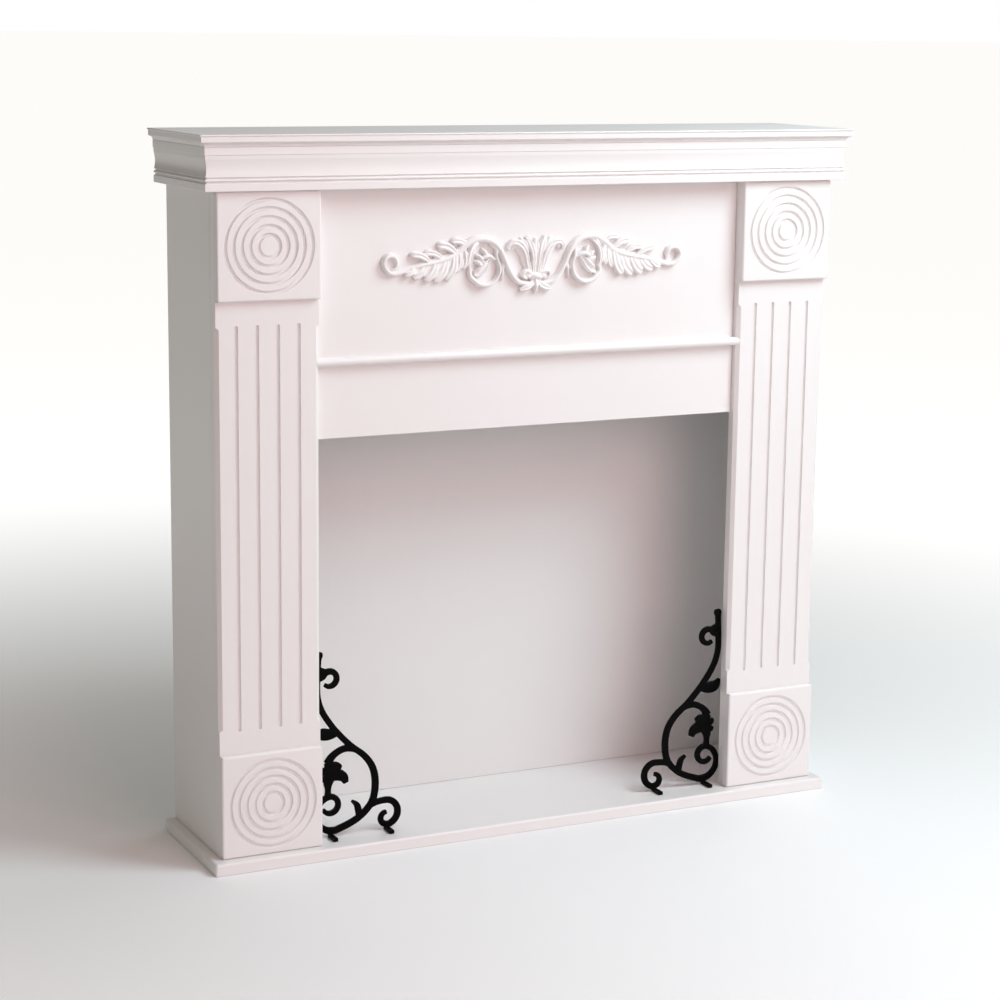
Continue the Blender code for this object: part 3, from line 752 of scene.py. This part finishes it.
def fuse(bm, voxel, rounds):
    """Fuse overlapping strokes into one body and soften it."""
    item = borrow(bm, "strokes")
    remesh = item.modifiers.new("fuse", "REMESH")
    remesh.mode = "VOXEL"
    remesh.voxel_size = voxel
    body = take_back(item)
    for _ in range(rounds):
        bmesh.ops.smooth_vert(body, verts=body.verts[:], factor=0.5, use_axis_x=True,
                              use_axis_y=True, use_axis_z=True)
    return body

# %% [markdown]
# The applied carving is a pair of acanthus scrolls about a palmette. One half is drawn in
# millimetres from the middle of the sheet, and the other half is its mirror image. Stems have a
# round back. Leaves are hollowed along the middle, which leaves the bright rims and the dark
# slots that make a carving readable from across a room.

# %% Draw the carving
carving_low, carving_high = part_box("frieze_carving")
CARVING_RELIEF = carving_high.y - carving_low.y
CARVING_MIDDLE = carving_low.z + 38.9 * MM
CARVING_VOXEL = 0.82 * MM

CARVING_HALF = {
    "arch_stem": (((5, -25), (16, -25.5), (27, -22.5), (37, -13), (44.5, 0), (50.5, 13), (58, 26),
                   (69, 35), (82, 38.5), (96, 37), (110, 29), (122, 19)),
                  (2.4, 3.2, 3.8, 3.8, 3.8, 4, 4.4, 4.8, 5, 5, 4.6, 3.6), 0.9, "stem"),
    "ring": (((70, 30), (62, 23), *arc((79, -3), 22.4, 145, 320, 9), (101, -12), (101.5, -2)),
             (2.0, 2.2, 2.4, 3.0, 3.4, 3.2), 0.95, "stem"),
    "ring_leaf": (((88, 35), (97, 27), (101.5, 16), (102, 4), (99.5, -6)),
                  (2.4, 3.6, 4.0, 3.4, 2.4), 0.86, "lobe"),
    "bulb": (((70, 13), (75.5, 5), (82, -3), (89, -8.5), (94.5, -9)),
             (2.2, 4.2, 5.8, 6.2, 3.6), 0.92, "leaf"),
    "long_finger": (((86, 6), (81.5, 12), (75, 14.5), (68.5, 12.5), (64, 9)),
                    (2.4, 3.0, 3.0, 2.6, 1.2), 0.95, "stem"),
    "back_finger": (((80, 4), (86.5, 13), (92.5, 17)), (2.6, 3.0, 1.6), 0.85, "stem"),
    "middle_finger": (((83, 0), (89.5, 6.5), (95, 9)), (2.6, 3.0, 1.6), 0.8, "stem"),
    "upper_finger": (((76, 13), (79, 20), (84, 25)), (2.4, 3.0, 1.6), 0.75, "stem"),
    "spike": (((49.5, 4), (51, -8), (51.5, -21)), (2.6, 2.0, 0.9), 0.6, "stem"),
    "midrib": (((100, 33), (116, 22), (134, 13), (154, 8), (176, 4), (196, 0), (210, -4)),
               (3.2, 4.0, 3.6, 3.0, 2.8, 3.0, 3.2), 0.66, "stem"),
    "leaf_web": (((110, 20), (120, 13), (136, 5), (156, 0), (178, -1), (198, -4)),
                 (4, 9, 13.5, 13, 9, 3), 0.5, "stem"),
    "plume_web": (((9, -12), (15, 2), (19, 13), (26, 24), (34, 29)),
                  (3.6, 4.6, 5.2, 5, 4), 0.45, "stem"),
    "end_curl": (((190, 1.5), (206, -4), (219, -5), (227, 0.5), (230.5, 8.5), (227, 16.5),
                  (219.5, 19), (213, 15.5), (210.5, 9), (211.5, 3)),
                 (3.0, 3.8, 3.4, 3.0, 3.0, 3.2, 3.6, 3.8, 3.2, 2.2), 0.85, "stem"),
    "outer_plume": (((8, -12), (12.4, 2), (14.8, 13), (20, 24), (28.5, 31.5), (37, 32),
                     (42.5, 26.5), (41, 21)),
                    (2.8, 3.6, 4.0, 4.6, 4.8, 4.2, 3.2, 2.0), 0.9, "lobe"),
    "plume_eye": (((37, 30), (35, 26), (37, 22)), (2.8, 3.0, 2.2), 0.5, "stem"),
    "middle_plume": (((11, 18), (18, 30), (24, 38.5)), (1.8, 3.4, 2.0), 0.8, "lobe"),
    "inner_plume": (((3.5, -11), (4.6, 4), (5.6, 16), (9, 28), (15, 40)),
                    (3.0, 3.4, 3.8, 4.6, 2.6), 1.0, "lobe"),
    "ear": (((2, -16), (9, -10.5), (16, -8), (20.5, -11), (19.5, -16), (13, -19)),
            (2.8, 3.2, 3.0, 2.6, 2.2, 1.6), 0.85, "stem"),
    "ear_floor": (((5, -16), (17, -13.5)), (4.4, 4.6), 0.68, "stem"),
    "side_petal": (((3, -20), (8.5, -28), (16, -31.5), (24.5, -34)),
                   (3.2, 4.2, 4.6, 2.6), 0.8, "lobe"),
}

CARVING_LOBES = (
    ((109, 25), (111.5, -3), 3.4), ((116, 22), (121.5, -7), 3.8), ((124, 19), (138, -17), 6.0),
    ((136, 15), (154.5, -18), 6.6), ((151, 10), (170, -16), 6.4), ((166, 7), (187, -12), 5.8),
    ((182, 3), (200, -8), 4.2), ((104, 30), (130, 36), 4.6), ((121, 19), (151, 31), 6.0),
    ((141, 12), (170, 21), 4.6), ((160, 8), (191, 19), 4.8),
)

CARVING_CENTRE = {
    "bud": (((0, -14), (0, 6), (0, 20), (0, 29), (0, 37.5)), (2, 2, 2.4, 4, 2), 0.8, "lobe"),
    "knot": (((-9, -17.5), (0, -15), (9, -17.5)), (3.4, 4.4, 3.4), 1.0, "stem"),
    "drop": (((0, -18), (0, -28), (0, -38.6)), (2.8, 3.8, 2.8), 0.85, "stem"),
}

STEM = [(-1, -0.2),
        *((-math.cos(turn), 0.35 + 0.65 * math.sin(turn))
          for turn in (math.radians(angle) for angle in range(0, 181, 15))),
        (1, -0.2)]
LEAF = [(-1, -0.2), (-1, 0.4), (-0.94, 0.78), (-0.8, 0.97), (-0.64, 1.0), (-0.44, 0.82),
        (-0.22, 0.6), (0, 0.5), (0.22, 0.6), (0.44, 0.82), (0.64, 1.0), (0.8, 0.97),
        (0.94, 0.78), (1, 0.4), (1, -0.2)]
LOBE = [(-1, -0.2), (-1, 0.3), (-0.92, 0.66), (-0.74, 0.9), (-0.5, 1.0), (-0.26, 0.93),
        (0, 0.76), (0.26, 0.93), (0.5, 1.0), (0.74, 0.9), (0.92, 0.66), (1, 0.3), (1, -0.2)]
OUTLINES = {"stem": STEM, "leaf": LEAF, "lobe": LOBE}


def carve_stroke(bm, points, widths, relief, kind, sign):
    """One stroke on one half: highest at its middle, and lower towards both its ends."""
    def place(across, rise):
        return sign * across * MM, CARVING_MIDDLE + rise * MM

    def height(share):
        return CARVING_RELIEF * relief * (0.62 + 0.38 * math.sin(math.pi * share))

    sweep(bm, smooth_line(to_metres(points, widths, place)), OUTLINES[kind], height,
          carving_high.y)


def lobe_route(root, tip, width):
    """One leaf lobe, bowed a little, with a blunt tip."""
    root, tip = Vector(root), Vector(tip)
    along = tip - root
    bow = Vector((along.y, -along.x)) * (0.12 if along.y < 0 else -0.12)
    route = [root, root.lerp(tip, 0.3) + bow * 0.7, root.lerp(tip, 0.6) + bow,
             root.lerp(tip, 0.88) + bow * 0.4, tip]
    return route, [width * share for share in (0.6, 0.85, 1, 0.95, 0.4)]


bm = bmesh.new()
for points, widths, relief, kind in CARVING_CENTRE.values():
    carve_stroke(bm, points, widths, relief, kind, 1)
for sign in (-1, 1):
    for points, widths, relief, kind in CARVING_HALF.values():
        carve_stroke(bm, points, widths, relief, kind, sign)
    for index, lobe in enumerate(CARVING_LOBES):
        carve_stroke(bm, *lobe_route(*lobe), 0.78 - 0.1 * (index % 2), "lobe", sign)
carving = fuse(bm, CARVING_VOXEL, 1)
rim = split_off(carving, carving_high, (0, 1, 0))
back = bmesh.ops.triangle_fill(carving, use_beauty=True, use_dissolve=False, edges=rim)["geom"]
print("flat back filled with", len(pick(back, bmesh.types.BMFace)), "faces")
finish_piece(carving, "frieze_carving_fine", "white_paint", CARVED_WHITE, "frieze_carving",
             sharp=80)

# %% [markdown]
# Each iron scroll is a flat bar drawn out and curled, with leaves cast on it. It has a front
# and a back that look alike, and every edge is rolled by the mould. Two small tabs bend forward
# along the plinth, and hold it up.

# %% Draw the iron scrolls
SCROLL_THICKNESS = 0.006
SCROLL_VOXEL = 0.6 * MM
TAB_WIDTH = 0.007
TAB_THICKNESS = 0.005
SCROLL_STROKES = {
    "stem": (((9.0, 264), (8.2, 250), (7.1, 228), (7.8, 206), (14.4, 184.6), (32, 158),
              (55.8, 132), (78.4, 113), (91.2, 93.4), (94.8, 68.8), (89.2, 43.2), (68, 22.8),
              *arc((30.4, 35), 25.6, -72, -235, 9), *arc((26, 47.4), 12.2, 95, -150, 8)),
             (4.4, 4.2, 4.4, 4.6, 5.2, 4.8, 5.2, 4.6, 4.2, 4.4, 4.4, 4.2, 4.2, 3.2), 1.0),
    "knob": (((8.6, 260), (9.6, 266), (10.4, 270.5)), (4.2, 5.8, 4.2), 1.05),
    "top_curl": (((8, 231), *arc((25.4, 230.6), 10.8, 160, -132, 10)),
                 (3.6, 4.6, 4.6, 4.4, 4.2, 4.2, 3.8, 3.0), 0.94),
    "top_web": (((8.4, 246), (15, 243.6), (21, 242)), (4.4, 3.6, 2.6), 0.9),
    "upper_leaf": (((39, 151.5), (30, 150.5), (19, 151), (10, 154), (3.6, 163)),
                   (2.5, 6.4, 8.6, 7.4, 1.2), 1.08),
    "arch": (((70, 119), (60, 125.6), (48, 127.2), (36.6, 123.2), (27.8, 116.4), (22.6, 108)),
             (2.5, 4.4, 4.8, 4.8, 5.4, 6.5), 0.92),
    "leaf_body": (((22.6, 59), (23, 70.6), (23, 79.6), (26, 90), (27, 100), (23, 110)),
                  (4.6, 4.2, 6.6, 8.4, 8.8, 6), 1.08),
    "leaf_back": (((20, 94), (15.6, 98.6), (15.2, 102.6)), (5, 4.4, 2.6), 0.96),
    "leaf_chin": (((21, 84), (16, 86.6), (14.8, 90.4)), (5, 4.2, 2.4), 0.96),
    "leaf_tip": (((26, 90), (37, 90.5), (46, 86), (50, 77.5)), (8, 8.5, 7.2, 4.0), 1.0),
    "leaf_lobe": (((26, 101), (35, 101.6), (41.6, 98.6)), (8, 8, 5.4), 1.16),
    "thorn": (((71, 26), (69, 35.4), (66, 43.4), (59.2, 49.2)), (5.4, 5, 4.2, 2.0), 0.84),
    "foot_curl": (((86.6, 39.4), (97, 42.8), *arc((111, 25.8), 18.4, 95, -80, 8),
                   *arc((112.2, 17.4), 9, 235, 90, 6)), (4.4, 4.8, 5, 4.8, 4.2, 3.2), 0.88),
}
SCROLL_TABS = ((26.4, 9.0), (112.0, 6.5))
BAR = [(-1, -0.34), (-0.8, -0.5), (0.8, -0.5), (1, -0.34), (1, 0.34), (0.8, 0.5), (-0.8, 0.5),
       (-1, 0.34)]


def add_tab(bm, centre, front, middle, floor, top):
    """A tab along the plinth, and a short post that joins it to the bar above."""
    half = TAB_WIDTH / 2
    post = TAB_WIDTH * 0.45
    thick = SCROLL_THICKNESS * 0.41
    block_between(bm, (centre - half, front, floor),
                  (centre + half, middle + SCROLL_THICKNESS * 0.4, floor + TAB_THICKNESS))
    block_between(bm, (centre - post, middle - thick, floor + TAB_THICKNESS / 2),
                  (centre + post, middle + thick, top))


def forge_scroll(side, sign):
    """One scroll: its bars swept, its two tabs added, and all fused into one casting."""
    node = "iron_scroll_" + side
    low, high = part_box(node)
    edge = max(abs(low.x), abs(high.x))
    middle = PILASTER_BACK + GAP + 0.6 * SCROLL_THICKNESS

    def place(across, rise):
        return sign * (edge - across * MM), low.z + rise * MM

    bm = bmesh.new()
    for points, widths, share in SCROLL_STROKES.values():
        line = smooth_line(to_metres(points, widths, place))
        sweep(bm, line, BAR, lambda _, share=share: SCROLL_THICKNESS * share, middle)
    for across, rise in SCROLL_TABS:
        centre, top = place(across, rise)
        add_tab(bm, centre, low.y, middle, low.z, top)
    scroll = fuse(bm, SCROLL_VOXEL, 2)
    for vert in scroll.verts:
        vert.co.z = max(vert.co.z, low.z)
    finish_piece(scroll, node + "_forged", "black_iron", BLACK_IRON, node, sharp=80)


for side, sign in SIDES:
    forge_scroll(side, sign)

# %% [markdown]
# The surround was photographed in a white studio: a large soft lamp near its right front corner,
# a broader one farther out in front, two above, and a room that gives a dim, warm light to what
# faces away. The key is a little cool and the front fill pink, which tints the left half. The
# sky that the camera sees is white, and the one that lights the sides is weaker.

# %% Light the studio
LAMPS = (
    ("key", (1.0, -1.1, 1.9), (0.2, 0, 0.5), 1.1, 29, (0.76, 0.95, 1.0)),
    ("front_fill", (0.3, -3.4, 1.6), (0, 0, 0.5), 2.4, 37, (1.0, 0.61, 0.63)),
    ("top_front", (0.3, -0.9, 3.0), (0, 0, 0.6), 2.0, 11, (1.0, 0.86, 0.92)),
    ("top_back", (1.2, 0.7, 2.4), (0.2, 0, 0.9), 1.2, 6, (0.75, 0.92, 1.0)),
)
WHITE, WARM_WHITE = (1, 1, 1, 1), (1.0, 0.94, 0.84, 1)
SEEN_STRENGTH = 1.0
FELT_STRENGTH = 0.25


def soft_light(name, place, target, size, power, colour):
    """A round soft lamp that points at its target and that the camera doesn't see."""
    data = bpy.data.lights.new(name, "AREA")
    data.shape = "DISK"
    data.size = size
    data.energy = power
    data.color = colour
    light = bpy.data.objects.new(name, data)
    light.location = place
    aim = Vector(target) - Vector(place)
    light.rotation_euler = aim.to_track_quat("-Z", "Y").to_euler()
    light.visible_camera = False
    bpy.context.scene.collection.objects.link(light)
    print(name, power, "W")


for lamp in LAMPS:
    soft_light(*lamp)

world = bpy.data.worlds.new("studio")
bpy.context.scene.world = world
world.use_nodes = True
sky = world.node_tree.nodes
path = sky.new("ShaderNodeLightPath")
seen = sky.new("ShaderNodeBackground")
seen.inputs["Color"].default_value = WHITE
seen.inputs["Strength"].default_value = SEEN_STRENGTH
felt = sky["Background"]
felt.inputs["Color"].default_value = WARM_WHITE
felt.inputs["Strength"].default_value = FELT_STRENGTH
choose = sky.new("ShaderNodeMixShader")
links = world.node_tree.links
links.new(path.outputs["Is Camera Ray"], choose.inputs[0])
links.new(felt.outputs[0], choose.inputs[1])
links.new(seen.outputs[0], choose.inputs[2])
links.new(choose.outputs[0], sky["World Output"].inputs["Surface"])
bpy.context.scene.view_settings.view_transform = "Standard"

# %% [markdown]
# The floor is plain and pale. Lamps near the surround can't light it to the horizon, so it has a
# glow of its own that grows with distance, and floor and sky meet without a line. The disc that
# the surround stands on gives light back to it, and the ring beyond is only there to be seen.

# %% Lay the floor
FLOOR_NEAR = 1.4
FLOOR_REACH = 200  # how many times wider the ring's rim is than the disc
FLOOR_SEGMENTS = 128
FLOOR_DROP = 0.2 * MM
GLOW_STARTS, GLOW_FULL, GLOW_STRENGTH = 0.5, 3.0, 0.75
pale = Finish("pale_floor")
reach = pale.node("ShaderNodeVectorMath", {"operation": "LENGTH"}, {0: pale.place}, output=1)
far = pale.node("ShaderNodeMapRange", {"interpolation_type": "SMOOTHSTEP"},
                {"Value": reach, "From Min": GLOW_STARTS, "From Max": GLOW_FULL})
pale.set("Base Color", (0.95, 0.95, 0.95, 1))
pale.set("Roughness", 0.7)
pale.set("Specular IOR Level", 0.1)
pale.set("Emission Color", pale.blend(far, (0, 0, 0, 1), WHITE))
pale.set("Emission Strength", GLOW_STRENGTH)


def lay_floor(name, bm):
    floor = stand_up(bm, name)
    floor.data.materials.append(pale.material)
    floor.location = (0, 0, -FLOOR_DROP)
    return floor


bm = bmesh.new()
bmesh.ops.create_circle(bm, cap_ends=True, radius=FLOOR_NEAR, segments=FLOOR_SEGMENTS)
lay_floor("studio_floor", bm)
bm = bmesh.new()
bmesh.ops.create_circle(bm, cap_ends=False, radius=FLOOR_NEAR, segments=FLOOR_SEGMENTS)
grown = bmesh.ops.extrude_edge_only(bm, edges=bm.edges[:])["geom"]
bmesh.ops.scale(bm, vec=(FLOOR_REACH, FLOOR_REACH, 1), verts=pick(grown, bmesh.types.BMVert))
bmesh.ops.recalc_face_normals(bm, faces=bm.faces[:])
beyond = lay_floor("studio_floor_beyond", bm)
beyond.visible_diffuse = False
print("studio lit, floor laid")
